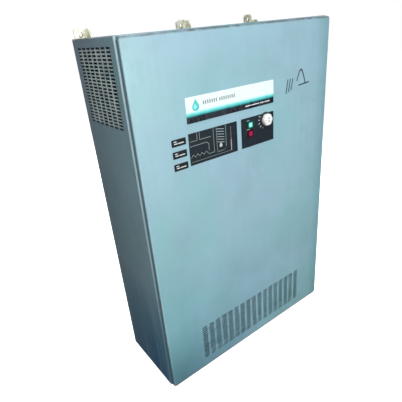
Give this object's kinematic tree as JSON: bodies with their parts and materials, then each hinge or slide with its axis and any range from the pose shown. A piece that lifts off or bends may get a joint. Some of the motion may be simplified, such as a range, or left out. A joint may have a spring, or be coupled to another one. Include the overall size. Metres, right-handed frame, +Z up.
{
  "type": "refrigerated air dryer",
  "caption": "Shallow sheet-steel cabinet housing a refrigeration circuit and heat exchanger that dry compressed air, with vented panels, lamps, a rotary switch and hanging brackets.",
  "frame": {"origin": "centre of the cabinet's base, on the plane that it stands on", "axes": "+Z up, -Y out of the front cover, +Y into the wall, +X to the right seen from the front"},
  "size_m": [0.6433, 0.2478, 0.938],
  "materials": {
    "cover_paint": "satin powder coat",
    "cabinet_paint": "satin powder coat",
    "nameplate_print": "printed polyester",
    "diagram_print": "printed polyester",
    "control_print": "printed polyester",
    "label_print": "printed polyester",
    "green_lens": "clear tinted",
    "red_lens": "clear tinted",
    "switch_black": "matt",
    "switch_white": "satin",
    "drain_handle_red": "satin",
    "zinc_yellow": "yellow zinc plate",
    "black_enamel": "satin enamel",
    "rubber": "matt",
    "foam": "closed-cell foam",
    "copper": "drawn copper",
    "brass": "machined",
    "aluminium": "mill",
    "galvanised": "zinc coated"
  },
  "bodies": {
    "cabinet": {"air_inlet_pipe": "copper", "air_inlet_port": "brass", "air_outlet_pipe": "copper", "air_outlet_port": "brass", "back_panel": "cabinet_paint", "base_pan": "cabinet_paint", "cable_gland": "switch_black", "capillary_tube": "copper", "compressor_contactor": "switch_black", "compressor_foot_plate": "black_enamel", "compressor_rubber_mount_1": "rubber", "compressor_rubber_mount_2": "rubber", "compressor_rubber_mount_3": "rubber", "compressor_rubber_mount_4": "rubber", "compressor_shell": "black_enamel", "compressor_terminal_cover": "switch_black", "condensate_drain_tube": "switch_white", "condenser_core": "aluminium", "condenser_tube": "copper", "discharge_line": "copper", "drain_cock_body": "brass", "evaporator_coil": "copper", "exchanger_vessel": "galvanised", "fan_housing": "switch_black", "fan_motor": "black_enamel", "fan_spider": "galvanised", "filter_drier": "copper", "hanging_bracket_centre": "zinc_yellow", "hanging_bracket_left": "zinc_yellow", "hanging_bracket_right": "zinc_yellow", "hot_gas_bypass_valve": "brass", "insulation_jacket": "foam", "left_side_panel": "cabinet_paint", "liquid_line": "copper", "lower_exchanger_clamp": "galvanised", "right_side_panel": "cabinet_paint", "separator_bowl": "aluminium", "separator_head": "aluminium", "suction_accumulator": "black_enamel", "suction_line": "copper", "terminal_block": "switch_white", "top_panel": "cabinet_paint", "upper_exchanger_clamp": "galvanised", "wiring_box": "galvanised", "wiring_box_cover": "galvanised"},
    "cover": {"front_cover": "cover_paint", "nameplate": "nameplate_print", "flow_diagram_plate": "diagram_print", "control_plate": "control_print", "small_label_upper": "label_print", "small_label_middle": "label_print", "small_label_lower": "label_print", "green_indicator_lamp": "green_lens", "red_indicator_lamp": "red_lens", "switch_collar": "switch_black", "switch_body": "switch_white"},
    "knob": {"switch_knob": "switch_white"},
    "fan": {"fan_rotor": "switch_black"},
    "drain_handle": {"drain_cock_handle": "drain_handle_red"},
    "float": {"drain_float": "switch_white"}
  },
  "joints": [
    {"name": "cover_lift_off", "type": "slide", "parent": "cabinet", "child": "cover", "axis": [0, -1, 0], "range_m": [0, 0.3]},
    {"name": "switch_turn", "type": "hinge", "parent": "cover", "child": "knob", "pos_m": [0.0603, -0.126, 0.6888], "axis": [0, 1, 0], "range_deg": [0, 90]},
    {"name": "fan_spin", "type": "hinge", "parent": "cabinet", "child": "fan", "pos_m": [-0.3047, 0.0065, 0.8158], "axis": [1, 0, 0], "continuous": true},
    {"name": "drain_cock_turn", "type": "hinge", "parent": "cabinet", "child": "drain_handle", "pos_m": [-0.17, 0.0372, 0.068], "axis": [0, 1, 0], "range_deg": [0, 90]},
    {"name": "float_rise", "type": "slide", "parent": "cabinet", "child": "float", "axis": [0, 0, 1], "range_m": [0, 0.03]}
  ]
}
